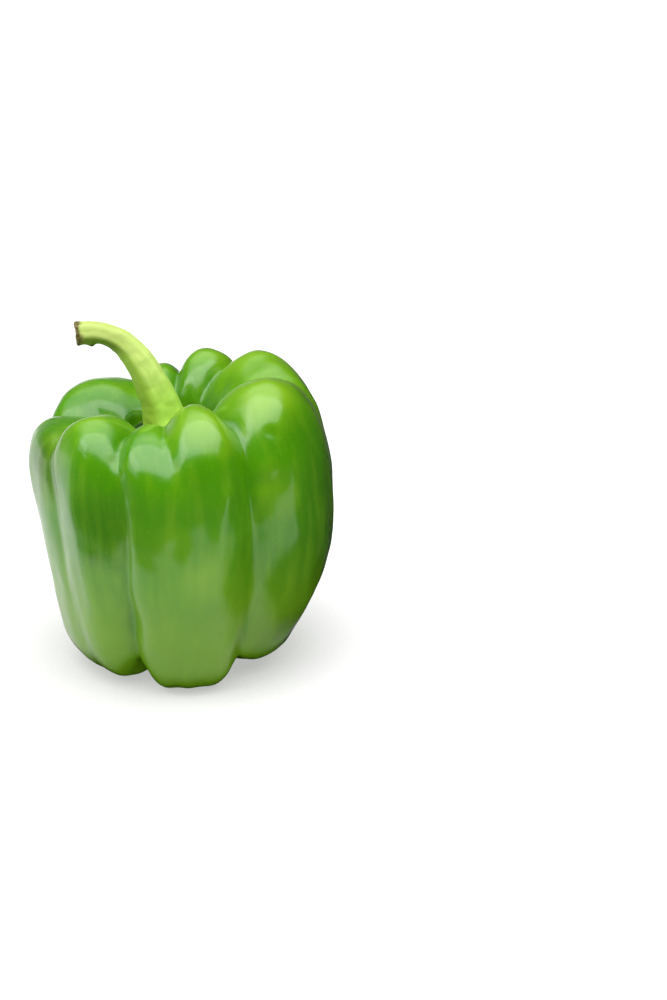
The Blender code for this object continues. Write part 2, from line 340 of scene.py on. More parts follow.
class FruitSettings(bpy.types.PropertyGroup):
    # Deep green is one tone of the skin's mottling, and in the creases it is painted shade
    deep_green: StringProperty(name="Deep green", description="Skin in the creases", default="#3A7A00")
    mid_green: StringProperty(name="Green", description="Most of the skin", default="#488A00")
    light_green: StringProperty(name="Light green", description="Shoulders and streaks", default="#7FAC1C")
    # Painted shade and painted dark reflections, laid on the skin's darker patches
    dark_green: StringProperty(name="Dark green", description="Patches grown in the shade", default="#1F4A00")
    foot_green: StringProperty(name="Foot green", description="Lower part of the lobes", default="#6C9A06")
    pore_green: StringProperty(name="Pore green", description="Pale dots in the skin", default="#9CC84A")
    dent_depth: FloatProperty(
        name="Dent depth", description="How uneven the lobes are", default=0.0011, unit="LENGTH"
    )
    dent_size: FloatProperty(name="Dent size", description="Width of a dent", default=0.022, unit="LENGTH")
    ripple_depth: FloatProperty(
        name="Ripple depth", description="Height of the small ripples", default=0.0005, unit="LENGTH"
    )
    ripple_size: FloatProperty(
        name="Ripple size", description="Width of a ripple", default=0.009, unit="LENGTH"
    )
    flute_width: FloatProperty(
        name="Flute width", description="Width of a flute", default=0.006, unit="LENGTH"
    )
    flute_depth: FloatProperty(
        name="Flute depth", description="Depth of a flute", default=0.0004, unit="LENGTH"
    )
    smoothness: IntProperty(name="Smoothness", description="Subdivision levels", default=2, min=1, max=2)


class ScarSettings(bpy.types.PropertyGroup):
    radius: FloatProperty(name="Radius", description="Half its width", default=0.0016, unit="LENGTH")
    thickness: FloatProperty(name="Thickness", description="Its height", default=0.0007, unit="LENGTH")
    cork_dark: StringProperty(name="Dark cork", description="Its pits", default="#4F4424")
    cork_brown: StringProperty(name="Brown cork", description="Most of it", default="#8C7B48")
    cork_pale: StringProperty(name="Pale cork", description="Its dry crests", default="#B5A671")


class CalyxSettings(bpy.types.PropertyGroup):
    tip_rise: FloatProperty(
        name="Tip rise", description="How far its corners turn up", default=0.0004, unit="LENGTH"
    )
    leaf_green: StringProperty(name="Leaf green", description="The collar's face", default="#2E5A12")
    dark_green: StringProperty(name="Dark green", description="Darker mottles", default="#1F450C")
    pale_green: StringProperty(name="Pale green", description="Paler mottles", default="#4C7A22")
    rim_green: StringProperty(name="Rim green", description="The collar's thin edge", default="#7D9848")
    smoothness: IntProperty(name="Smoothness", description="Subdivision levels", default=2, min=1, max=3)


class StemSettings(bpy.types.PropertyGroup):
    light_green: StringProperty(name="Light green", description="Ribs and upper side", default="#DCF090")
    # Between the ribs this colour is painted shade; it is also one tone of the fibres
    mid_green: StringProperty(name="Green", description="Hollows between the ribs", default="#BEDC68")
    base_green: StringProperty(name="Base green", description="Its foot in the cavity", default="#A8DA48")
    # Painted shade on the stem's lower, inner face
    underside_shade_green: StringProperty(name="Under green", description="Its lower, inner face", default="#9CC23A")
    # Painted shade under the cut end
    shade_green: StringProperty(name="Shade green", description="Under the cut end", default="#5F7D12")
    dull_green: StringProperty(name="Dull green", description="Drying skin near the cut", default="#A9B860")
    fleck_olive: StringProperty(name="Flecks", description="Small dark flecks", default="#6E7A2A")
    scar_green: StringProperty(name="Scar green", description="The scar under the stem", default="#34440E")
    dry_brown: StringProperty(name="Dry brown", description="The dried edge of the cut", default="#46401A")
    dry_ochre: StringProperty(name="Dry ochre", description="Its middle tone", default="#736A2E")
    dry_straw: StringProperty(name="Dry straw", description="Its palest fibres", default="#A39C52")
    pith_cream: StringProperty(name="Pith", description="The cut end's middle", default="#C9BE86")
    scar_place: FloatProperty(
        name="Scar place", description="How far before the cut end", default=0.0042, unit="LENGTH"
    )
    smoothness: IntProperty(name="Smoothness", description="Subdivision levels", default=3, min=1, max=3)


class StageSettings(bpy.types.PropertyGroup):
    elevation: FloatProperty(
        name="Camera elevation",
        description="Angle above the floor",
        default=math.radians(22.0),
        subtype="ANGLE",
    )
    distance: FloatProperty(name="Camera distance", description="To the pepper", default=0.55, unit="LENGTH")
    look_at: FloatVectorProperty(
        name="Look at", description="Point in the middle of the frame", default=(0.04265, 0.0, 0.04473)
    )
    lens: FloatProperty(name="Lens", description="Focal length in mm", default=69.3)
    floor_white: StringProperty(name="Floor", description="Colour of the floor", default="#A2A2A0")
    floor_grey: StringProperty(name="Floor grain", description="Its darker grain", default="#9C9C9A")


def skin_material(settings):
    """Pepper skin: a smooth, waxed cuticle over moist green flesh.

    The wax gives sharp, slightly rippled reflections, and the flesh under it a soft, saturated green.
    """
    finish = {
        "IOR": 1.4,
        "Specular IOR Level": 0.12,
        "Coat Weight": 1.0,
        "Coat Roughness": 0.16,
        "Coat IOR": 1.52,
        "Subsurface Weight": 0.06,
        "Subsurface Radius": (0.6, 1.0, 0.25),
        "Subsurface Scale": 0.002,
    }
    material, tree, shader = new_material("waxed pepper skin", finish)
    place = put(tree, "ShaderNodeTexCoord").outputs["Object"]
    hollow = put(tree, "ShaderNodeAttribute", attribute_name="hollow")
    # Where painted shade and painted dark reflections darken the skin
    shade_patch = put(tree, "ShaderNodeAttribute", attribute_name="shade_patch")

    broad = put(tree, "ShaderNodeTexNoise", {"Vector": place, "Scale": 38.0, "Detail": 2.0})
    tone = put(tree, "ShaderNodeValToRGB", {"Fac": broad.outputs["Fac"]})
    ramp(tone, (0.15, settings.deep_green), (0.5, settings.mid_green), (0.85, settings.light_green))

    # The skin is olive at the feet and paler round the stem end, and painted shade darkens its creases
    height = put(tree, "ShaderNodeSeparateXYZ", {0: place}).outputs["Z"]
    swayed = {0: broad.outputs["Fac"], 1: 0.03, 2: height}
    uneven = put(tree, "ShaderNodeMath", swayed, operation="MULTIPLY_ADD")
    low = put(
        tree,
        "ShaderNodeMapRange",
        {"Value": uneven.outputs[0], "From Min": 0.03, "From Max": 0.065, "To Min": 0.8, "To Max": 0.0},
        interpolation_type="SMOOTHSTEP",
    )
    high = put(
        tree,
        "ShaderNodeMapRange",
        {"Value": uneven.outputs[0], "From Min": 0.085, "From Max": 0.105, "To Max": 0.7},
        interpolation_type="SMOOTHSTEP",
    )
    # Painted shade in the creases, from how deep each point lies in a hollow
    crease_shade = put(
        tree,
        "ShaderNodeMapRange",
        {"Value": hollow.outputs["Fac"], "From Min": 0.15, "From Max": 0.9, "To Max": 0.75},
    )

    # Streaks that run down the lobes, 3 mm apart and stretched eight times
    down = put(tree, "ShaderNodeMapping", {"Vector": place, "Scale": (1.0, 1.0, 0.12)})
    streaks = put(tree, "ShaderNodeTexNoise", {"Vector": down.outputs[0], "Scale": 330.0, "Detail": 3.0})
    streak = put(
        tree,
        "ShaderNodeMapRange",
        {"Value": streaks.outputs["Fac"], "From Min": 0.45, "From Max": 0.75, "To Max": 0.25},
    )

    # Pores are 0.2 mm on the real skin. They are drawn at 0.5 mm, every 1.6 mm, so that they just show
    pores = put(tree, "ShaderNodeTexVoronoi", {"Vector": place, "Scale": 620.0}, feature="F1")
    gap = pores.outputs["Distance"]
    pore = put(
        tree,
        "ShaderNodeMapRange",
        {"Value": gap, "From Min": 0.1, "From Max": 0.25, "To Min": 0.07, "To Max": 0.0},
    )

    # Each layer lies over those before it
    layers = [
        (low.outputs[0], settings.foot_green),
        (high.outputs[0], settings.light_green),
        (crease_shade.outputs[0], settings.deep_green),
        (shade_patch.outputs["Fac"], settings.dark_green),
        (streak.outputs[0], settings.light_green),
        (pore.outputs[0], settings.pore_green),
    ]
    colour = tone.outputs["Color"]
    for share, green in layers:
        sockets = {SHARE: share, FIRST: colour, SECOND: linear(green)}
        colour = put(tree, "ShaderNodeMix", sockets, data_type="RGBA").outputs[MIXED]
    tree.links.new(colour, shader.inputs["Base Color"])

    polish = put(tree, "ShaderNodeTexNoise", {"Vector": place, "Scale": 120.0, "Detail": 3.0})
    roughness = put(
        tree,
        "ShaderNodeMapRange",
        {"Value": polish.outputs["Fac"], "From Min": 0.3, "From Max": 0.7, "To Min": 0.3, "To Max": 0.4},
    )
    tree.links.new(roughness.outputs[0], shader.inputs["Roughness"])
    grain = put(tree, "ShaderNodeTexNoise", {"Vector": place, "Scale": 700.0, "Detail": 2.0})
    bump = put(tree, "ShaderNodeBump", {"Height": grain.outputs["Fac"], "Strength": 0.12, "Distance": 0.0001})
    tree.links.new(bump.outputs[0], shader.inputs["Normal"])
    return material


def calyx_material(settings):
    """Calyx: a leathery dark green leaf, matt, with a thin pale corky edge."""
    material, tree, shader = new_material("leathery calyx", {"Roughness": 0.55, "IOR": 1.42})
    place = put(tree, "ShaderNodeTexCoord").outputs["Object"]
    mottle = put(tree, "ShaderNodeTexNoise", {"Vector": place, "Scale": 500.0, "Detail": 4.0})
    tone = put(tree, "ShaderNodeValToRGB", {"Fac": mottle.outputs["Fac"]})
    ramp(tone, (0.3, settings.dark_green), (0.6, settings.leaf_green), (0.8, settings.pale_green))

    # The corky edge is worn here and there
    rim = put(tree, "ShaderNodeAttribute", attribute_name="rim")
    wear = put(tree, "ShaderNodeTexNoise", {"Vector": place, "Scale": 420.0, "Detail": 3.0})
    kept = put(
        tree,
        "ShaderNodeMapRange",
        {"Value": wear.outputs["Fac"], "From Min": 0.38, "From Max": 0.62, "To Min": 0.15, "To Max": 0.85},
    )
    corky = put(tree, "ShaderNodeMath", {0: rim.outputs["Fac"], 1: kept.outputs[0]}, operation="MULTIPLY")
    edged = put(
        tree,
        "ShaderNodeMix",
        {SHARE: corky.outputs[0], FIRST: tone.outputs["Color"], SECOND: linear(settings.rim_green)},
        data_type="RGBA",
    )
    tree.links.new(edged.outputs[MIXED], shader.inputs["Base Color"])
    bump = put(tree, "ShaderNodeBump", {"Height": mottle.outputs["Fac"], "Strength": 0.4, "Distance": 0.0003})
    tree.links.new(bump.outputs[0], shader.inputs["Normal"])
    return material


def stem_material(settings):
    """Stem: a fleshy, finely fibrous stalk with a satin skin, dried brown and rough where it was cut."""
    finish = {
        "Roughness": 0.5,
        "IOR": 1.42,
        "Subsurface Weight": 0.1,
        "Subsurface Radius": (0.8, 1.0, 0.3),
        "Subsurface Scale": 0.0015,
    }
    material, tree, shader = new_material("fibrous pepper stem", finish)
    place = put(tree, "ShaderNodeAttribute", attribute_name="grain").outputs["Vector"]
    length = put(tree, "ShaderNodeSeparateXYZ", {0: place}).outputs["Z"]
    names = ("hollow", "under", "dry", "pith", "scar")
    stored = {name: put(tree, "ShaderNodeAttribute", attribute_name=name).outputs["Fac"] for name in names}

    # Fibres 0.7 mm apart that follow the stem
    along = put(tree, "ShaderNodeMapping", {"Vector": place, "Scale": (1.0, 1.0, 0.07)})
    fibres = put(tree, "ShaderNodeTexNoise", {"Vector": along.outputs[0], "Scale": 1400.0, "Detail": 4.0})
    tone = put(tree, "ShaderNodeValToRGB", {"Fac": fibres.outputs["Fac"]})
    ramp(tone, (0.2, settings.mid_green), (0.7, settings.light_green))
    # Painted shade in the hollows between the ribs
    rib_hollow_shade = put(
        tree,
        "ShaderNodeMapRange",
        {"Value": stored["hollow"], "From Min": -0.5, "From Max": 0.8, "To Max": 0.8},
    )

    # It is greener at its foot and dries and dulls towards the cut, and painted shade makes it darkest under
    # it
    foot = put(
        tree,
        "ShaderNodeMapRange",
        {"Value": length, "From Min": 0.006, "From Max": 0.024, "To Min": 0.9, "To Max": 0.0},
        interpolation_type="SMOOTHSTEP",
    )
    dulling = put(
        tree,
        "ShaderNodeMapRange",
        {"Value": length, "From Min": 0.022, "From Max": 0.036, "To Max": 0.7},
        interpolation_type="SMOOTHSTEP",
    )
    near = put(
        tree,
        "ShaderNodeMapRange",
        {"Value": length, "From Min": 0.0245, "From Max": 0.032},
        interpolation_type="SMOOTHSTEP",
    )
    cut_end_shade = put(tree, "ShaderNodeMath", {0: near.outputs[0], 1: stored["under"]}, operation="MULTIPLY")

    # Flecks every 4 mm, and blotches of 1 mm in the dry skin
    flecks = put(tree, "ShaderNodeTexVoronoi", {"Vector": place, "Scale": 260.0, "Randomness": 1.0})
    gap = flecks.outputs["Distance"]
    fleck = put(
        tree,
        "ShaderNodeMapRange",
        {"Value": gap, "From Min": 0.05, "From Max": 0.12, "To Min": 0.4, "To Max": 0.0},
    )
    blotches = put(tree, "ShaderNodeTexNoise", {"Vector": place, "Scale": 900.0, "Detail": 4.0})
    brown = put(tree, "ShaderNodeValToRGB", {"Fac": blotches.outputs["Fac"]})
    ramp(brown, (0.35, settings.dry_brown), (0.6, settings.dry_ochre), (0.75, settings.dry_straw))

    # Each layer lies over those before it
    layers = [
        (rib_hollow_shade.outputs[0], linear(settings.mid_green)),
        (foot.outputs[0], linear(settings.base_green)),
        (stored["under"], linear(settings.underside_shade_green)),
        (dulling.outputs[0], linear(settings.dull_green)),
        (cut_end_shade.outputs[0], linear(settings.shade_green)),
        (fleck.outputs[0], linear(settings.fleck_olive)),
        (stored["dry"], brown.outputs["Color"]),
        (stored["pith"], linear(settings.pith_cream)),
        (stored["scar"], linear(settings.scar_green)),
    ]
    colour = tone.outputs["Color"]
    for share, over in layers:
        sockets = {SHARE: share, FIRST: colour, SECOND: over}
        colour = put(tree, "ShaderNodeMix", sockets, data_type="RGBA").outputs[MIXED]
    tree.links.new(colour, shader.inputs["Base Color"])
    bump = put(tree, "ShaderNodeBump", {"Height": fibres.outputs["Fac"], "Strength": 0.5, "Distance": 0.0002})
    tree.links.new(bump.outputs[0], shader.inputs["Normal"])
    return material


def cork_material(settings):
    """Blossom scar: dry, pale brown cork where the flower fell off."""
    material, tree, shader = new_material("dry cork scar", {"Roughness": 0.8})
    place = put(tree, "ShaderNodeTexCoord").outputs["Object"]
    pits = put(tree, "ShaderNodeTexNoise", {"Vector": place, "Scale": 1600.0, "Detail": 4.0})
    tone = put(tree, "ShaderNodeValToRGB", {"Fac": pits.outputs["Fac"]})
    ramp(tone, (0.3, settings.cork_dark), (0.6, settings.cork_brown), (0.8, settings.cork_pale))
    tree.links.new(tone.outputs["Color"], shader.inputs["Base Color"])
    bump = put(tree, "ShaderNodeBump", {"Height": pits.outputs["Fac"], "Strength": 0.7, "Distance": 0.0002})
    tree.links.new(bump.outputs[0], shader.inputs["Normal"])
    return material


def dent(piece, name, size, depth):
    """Pushes the skin in and out by a cloudy pattern of the given width and depth."""
    texture = bpy.data.textures.new(name, "CLOUDS")
    texture.noise_scale = size
    texture.noise_depth = 1
    shape_with(piece, "DISPLACE", texture=texture, texture_coords="LOCAL", strength=depth, mid_level=0.5)


def flute(mesh, width, length, depth):
    """Shallow hollows that run down the lobes, as grown ones do."""
    points, normals = points_of(mesh), points_of(mesh, "normal")
    squeeze = np.array([1.0 / width, 1.0 / width, 1.0 / length])
    values = np.array([noise.noise(Vector(place)) for place in points * squeeze])
    move_points(mesh, points + normals * (values * depth)[:, None])


def mark_skin(mesh, mark):
    """Raises the skin along the mark's route, or presses it in where its height is below 0."""
    points, normals = points_of(mesh), points_of(mesh, "normal")
    distance = np.full(len(points), np.inf)
    for start, end in zip(mark.route, mark.route[1:]):
        start, run = np.array(start), np.subtract(end, start)
        share = np.clip((points - start) @ run / (run @ run), 0.0, 1.0)
        distance = np.minimum(distance, np.linalg.norm(points - start - share[:, None] * run, axis=1))
    heights = mark.height * np.exp(-((distance / mark.half_width) ** 2))
    move_points(mesh, points + normals * heights[:, None])


class PEPPER_OT_fruit(bpy.types.Operator):
    """Make the fruit's skin, with the small dents and ripples of a grown thing"""

    bl_idname = "pepper.fruit"
    bl_label = "Fruit"

    def execute(self, context):
        settings = context.scene.pepper_fruit
        fruit = welded_copy("fruit", "pepper_fruit")
        levels = settings.smoothness
        shape_with(fruit, "SUBSURF", levels=levels, render_levels=levels)
        dent(fruit, "dents", settings.dent_size, settings.dent_depth)
        dent(fruit, "ripples", settings.ripple_size, settings.ripple_depth)
        flute(fruit.data, settings.flute_width, FLUTE_STRETCH * settings.flute_width, settings.flute_depth)
        for mark in SKIN_MARKS:
            mark_skin(fruit.data, mark)

        # Nothing sinks into the ground
        points = points_of(fruit.data)
        points[:, 2] = np.maximum(points[:, 2], 0.0)
        move_points(fruit.data, points)
        store_hollows(fruit.data, "hollow", passes=40, depth=0.0009)
        # Painted shade and dark reflections, strongest at each patch's middle
        shade_patch = np.zeros(len(points))
        for dark in PAINTED_SHADE_PATCHES:
            away = np.linalg.norm(points - dark.middle, axis=1)
            shade_patch = np.maximum(shade_patch, dark.share * np.exp(-((away / dark.reach) ** 2)))
        store(fruit.data, "shade_patch", shade_patch)
        hand_over(fruit, "fruit", skin_material(settings))
        return {"FINISHED"}


class PEPPER_OT_blossom_scar(bpy.types.Operator):
    """Make the corky scar in the dimple under the fruit"""

    bl_idname = "pepper.blossom_scar"
    bl_label = "Blossom scar"

    def execute(self, context):
        settings = context.scene.pepper_scar
        thickness = settings.thickness
        up = Vector((0.0, 0.0, 1.0))
        found, spot, _, _ = bpy.data.objects["pepper_fruit"].ray_cast(DIMPLE, up)
        if not found:
            raise RuntimeError("the fruit has no underside above the scar's place")
        bpy.ops.object.select_all(action="DESELECT")
        bpy.ops.mesh.primitive_cylinder_add(
            vertices=20, radius=settings.radius, depth=thickness, location=spot
        )
        scar = bpy.context.active_object
        scar.name = scar.data.name = "blossom_scar"
        bpy.ops.object.mode_set(mode="EDIT")
        bpy.ops.mesh.select_all(action="SELECT")
        bpy.ops.mesh.bevel(offset=thickness * 0.4, segments=3)
        bpy.ops.object.mode_set(mode="OBJECT")
        bpy.ops.object.transform_apply(location=True, rotation=True, scale=True)
        shape_with(scar, "SUBSURF", levels=2, render_levels=2)
        dent(scar, "scar lumps", size=0.0012, depth=0.0005)
        bpy.ops.object.shade_smooth()
        hand_over(scar, None, cork_material(settings))
        return {"FINISHED"}


def calyx_reach(bearing):
    """How far the collar's edge stands from its middle, and how near a corner the bearing is, up to 1."""
    corners = [(math.radians(turn), reach) for turn, reach in CALYX_CORNERS]
    corners.append((corners[0][0] + 2.0 * math.pi, corners[0][1]))
    bearing = (bearing - corners[0][0]) % (2.0 * math.pi) + corners[0][0]
    for (start, near), (end, far) in zip(corners, corners[1:]):
        if bearing <= end:
            break
    spread = math.sin(end - start)
    reach = near * far * spread / (near * math.sin(bearing - start) + far * math.sin(end - bearing))
    waves = [share * (0.5 + 0.5 * math.sin(count * bearing + turn)) for count, turn, share in CALYX_WAVES]
    gap = min(bearing - start, end - bearing)
    return reach * (1.0 - sum(waves)), math.exp(-((gap / CORNER_WIDTH) ** 2))


class PEPPER_OT_calyx(bpy.types.Operator):
    """Make the angular collar between fruit and stem, ring by ring"""

    bl_idname = "pepper.calyx"
    bl_label = "Calyx"

    def execute(self, context):
        settings = context.scene.pepper_calyx
        middle = Vector((CALYX_MIDDLE.x, CALYX_MIDDLE.y, CALYX_LOW.z))
        widest = max(radius for radius, _, _ in CALYX_RINGS)
        bpy.ops.object.select_all(action="DESELECT")
        bpy.ops.mesh.primitive_circle_add(vertices=CALYX_COLUMNS, radius=CALYX_RINGS[0][0], location=middle)
        calyx = bpy.context.active_object
        calyx.name = calyx.data.name = "pepper_calyx"
        bpy.ops.object.transform_apply(location=True, rotation=True, scale=True)
        bpy.ops.object.mode_set(mode="EDIT")
        for _ in CALYX_RINGS[1:]:
            bpy.ops.mesh.extrude_edges_move()
        bpy.ops.object.mode_set(mode="OBJECT")
        for index, vertex in enumerate(calyx.data.vertices):
            radius, height, corner_share = CALYX_RINGS[index // CALYX_COLUMNS]
            bearing = 2.0 * math.pi * (index % CALYX_COLUMNS) / CALYX_COLUMNS
            reach, corner = calyx_reach(bearing)
            radius *= 1.0 + corner_share * (reach / widest - 1.0)
            height += corner * corner_share * settings.tip_rise * (height > CALYX_FACE)
            vertex.co = middle + Vector((radius * math.cos(bearing), radius * math.sin(bearing), height))
        select_only(calyx)
        bpy.ops.object.mode_set(mode="EDIT")
        bpy.ops.mesh.select_all(action="SELECT")
        bpy.ops.mesh.fill_holes(sides=CALYX_COLUMNS)
        bpy.ops.mesh.normals_make_consistent(inside=False)
        bpy.ops.object.mode_set(mode="OBJECT")
        shape_with(calyx, "SUBSURF", levels=settings.smoothness, render_levels=settings.smoothness)
        dent(calyx, "calyx lumps", size=0.003, depth=0.0003)
        bpy.ops.object.shade_smooth()
        points = points_of(calyx.data)
        across, along = points[:, 0] - middle.x, points[:, 1] - middle.y
        edge = np.array([calyx_reach(math.atan2(b, a))[0] for a, b in zip(across, along)])
        raised = smooth_step(*RIM_HEIGHTS, points[:, 2] - middle.z)
        store(calyx.data, "rim", raised * smooth_step(*RIM_SHARES, np.hypot(across, along) / edge))
        hand_over(calyx, "calyx", calyx_material(settings))
        return {"FINISHED"}


def stem_line():
    """The stem's centreline as many points, with the length up to each of them."""
    route = np.array(STEM_ROUTE)
    route = np.vstack([2.0 * route[0] - route[1], route, 2.0 * route[-1] - route[-2]])
    share = np.linspace(0.0, 1.0, STEM_STEPS, endpoint=False)[:, None]
    stretches = []
    for before, start, end, after in zip(route, route[1:], route[2:], route[3:]):
        stretches.append(
            0.5
            * (
                2.0 * start
                + (end - before) * share
                + (2.0 * before - 5.0 * start + 4.0 * end - after) * share**2
                + (3.0 * start - before - 3.0 * end + after) * share**3
            )
        )
    line = np.vstack(stretches + [route[-2]])
    steps = np.linalg.norm(np.diff(line, axis=0), axis=1)
    return line, np.concatenate([[0.0], np.cumsum(steps)])


def straightened(points):
    """Each point's place across the stem and along it, as if the stem were straight."""
    line, lengths = stem_line()
    nearest = np.argmin(((points[:, None, :] - line[None, :, :]) ** 2).sum(2), axis=1)
    tangent = np.gradient(line, axis=0)
    tangent /= np.linalg.norm(tangent, axis=1)[:, None]
    side = np.cross(tangent, (0.0, 1.0, 0.0))
    side /= np.linalg.norm(side, axis=1)[:, None]
    depth = np.cross(side, tangent)
    offset = points - line[nearest]
    across = (offset * side[nearest]).sum(1)
    deep = (offset * depth[nearest]).sum(1)
    along = lengths[nearest] + (offset * tangent[nearest]).sum(1)
    return np.stack([across, deep, along], axis=1), lengths[-1]


def swell(mesh, heights):
    """Moves each vertex out along its normal."""
    move_points(mesh, points_of(mesh) + points_of(mesh, "normal") * heights[:, None])


class PEPPER_OT_stem(bpy.types.Operator):
    """Make the ribbed stem with its dry cut end"""

    bl_idname = "pepper.stem"
    bl_label = "Stem"

    def execute(self, context):
        settings = context.scene.pepper_stem
        stem = welded_copy("stem", "pepper_stem")
        shape_with(stem, "SUBSURF", levels=settings.smoothness, render_levels=settings.smoothness)
        dent(stem, "stem lumps", size=0.0035, depth=0.0004)
        grain, length = straightened(points_of(stem.data))
        store(stem.data, "grain", grain)
        along, angle = grain[:, 2], np.arctan2(grain[:, 1], grain[:, 0])

        # A scar swells the underside just before the cut end
        beside = np.hypot(along - length + settings.scar_place, (angle - SCAR_TURN) * SCAR_ARM)
        scar = np.exp(-((beside / SCAR_RADIUS) ** 2))
        swell(stem.data, scar * SCAR_HEIGHT)
        store(stem.data, "scar", smooth_step(*SCAR_EDGE, scar))

        # The cut end is torn, and its foot grows into the calyx
        torn = smooth_step(length - TORN_LENGTH, length, along)
        tears = np.array([noise.noise(Vector(place)) for place in points_of(stem.data) / TEAR_WIDTH])
        swell(stem.data, torn * tears * TEAR_HEIGHT)
        points = points_of(stem.data)
        sunk = smooth_step(FOOT_REACH, 0.0, points[:, 2] - STEM_FOOT)
        points[:, 2] -= FOOT_DEPTH * sunk
        move_points(stem.data, points)

        # Where it is dry, where it faces in and down and gets painted shade, and where its pith shows
        ragged = np.array([noise.noise(Vector(place)) for place in points / DRY_WAVE]) * DRY_SWING
        store(stem.data, "dry", smooth_step(length - DRY_START, length - DRY_FULL, along + ragged))
        store(stem.data, "under", UNDERSIDE_SHADE_SHARE * smooth_step(*UNDER_EDGE, np.cos(angle - UNDER_TURN)))
        inside = np.hypot(grain[:, 0], grain[:, 1])
        store(stem.data, "pith", torn * smooth_step(PITH_FADE, PITH_RADIUS, inside))
        store_hollows(stem.data, "hollow", passes=12, depth=0.00025)
        hand_over(stem, "stem", stem_material(settings))
        return {"FINISHED"}


def floor_material(settings):
    """Matt white acrylic of a light table: no gloss, and lit faintly from below so that shadows stay pale."""
    finish = {"Roughness": 0.9, "Specular IOR Level": 0.1, "Emission Color": linear(WHITE)}
    material, tree, shader = new_material("light table acrylic", finish)
    place = put(tree, "ShaderNodeTexCoord").outputs["Object"]
    grain = put(tree, "ShaderNodeTexNoise", {"Vector": place, "Scale": 900.0, "Detail": 2.0})
    tone = put(tree, "ShaderNodeValToRGB", {"Fac": grain.outputs["Fac"]})
    ramp(tone, (0.3, settings.floor_grey), (0.7, settings.floor_white))
    tree.links.new(tone.outputs["Color"], shader.inputs["Base Color"])

    # Its glow grows away from the pepper, which paints a soft shadow round it, and is stronger to the eye
    # than in the skin's reflection
    away = put(tree, "ShaderNodeVectorMath", {0: place}, operation="LENGTH").outputs["Value"]
    ray = put(tree, "ShaderNodeLightPath")
    glows = [
        {"Value": away, "From Min": 0.03, "From Max": 0.07, "To Min": 0.6, "To Max": 1.0},
        {"Value": away, "From Min": 0.15, "From Max": 1.0, "To Min": 0.7, "To Max": 0.95},
        {"Value": ray.outputs["Is Camera Ray"], "To Min": 0.72, "To Max": 1.1},
    ]
    strength = 1.0
    for glow in glows:
        part = put(tree, "ShaderNodeMapRange", glow).outputs[0]
        strength = put(tree, "ShaderNodeMath", {0: strength, 1: part}, operation="MULTIPLY").outputs[0]
    tree.links.new(strength, shader.inputs["Emission Strength"])

    # In the skin's reflection the floor fades out beside the pepper on the right, and under its feet, as
    # painted shade in the reflection
    axes = put(tree, "ShaderNodeSeparateXYZ", {0: place})
    falling = {"To Min": 1.0, "To Max": 0.0}
    fades = [
        ("MULTIPLY", {"Value": axes.outputs["X"], "From Min": 0.022, "From Max": 0.044}),
        ("MULTIPLY", {"Value": axes.outputs["X"], "From Min": 0.14, "From Max": 0.20, **falling}),
        ("MULTIPLY", {"Value": axes.outputs["Y"], "From Min": -0.095, "From Max": -0.062}),
        ("MAXIMUM", {"Value": away, "From Min": 0.030, "From Max": 0.042, **falling}),
    ]
    share = 1.0
    for joined, edge in fades:
        fade = put(tree, "ShaderNodeMapRange", edge, interpolation_type="SMOOTHSTEP").outputs[0]
        share = put(tree, "ShaderNodeMath", {0: share, 1: fade}, operation=joined).outputs[0]
    reflected_shade = put(tree, "ShaderNodeMath", {0: share, 1: ray.outputs["Is Glossy Ray"]}, operation="MULTIPLY")
    unlit = put(tree, "ShaderNodeEmission", {"Strength": 0.0})
    sockets = {0: reflected_shade.outputs[0], 1: shader.outputs[0], 2: unlit.outputs[0]}
    faded = put(tree, "ShaderNodeMixShader", sockets)

    # From below it is clear, so that the underside shows
    back = put(tree, "ShaderNodeNewGeometry").outputs["Backfacing"]
    clear = put(tree, "ShaderNodeBsdfTransparent")
    open_below = put(tree, "ShaderNodeMixShader", {0: back, 1: faded.outputs[0], 2: clear.outputs[0]})
    tree.links.new(open_below.outputs[0], tree.nodes["Material Output"].inputs["Surface"])
    return material


def add_floor(name, corners, height, material, mirrored):
    """A stretch of floor inside its corners, which the skin mirrors or not."""
    bpy.ops.mesh.primitive_circle_add(vertices=len(corners), fill_type="NGON", location=(0.0, 0.0, 0.0))
    floor = bpy.context.active_object
    floor.name = floor.data.name = name
    for vertex, corner in zip(floor.data.vertices, corners):
        vertex.co = (*corner, height)
    floor.data.materials.append(material)
    floor.visible_glossy = mirrored


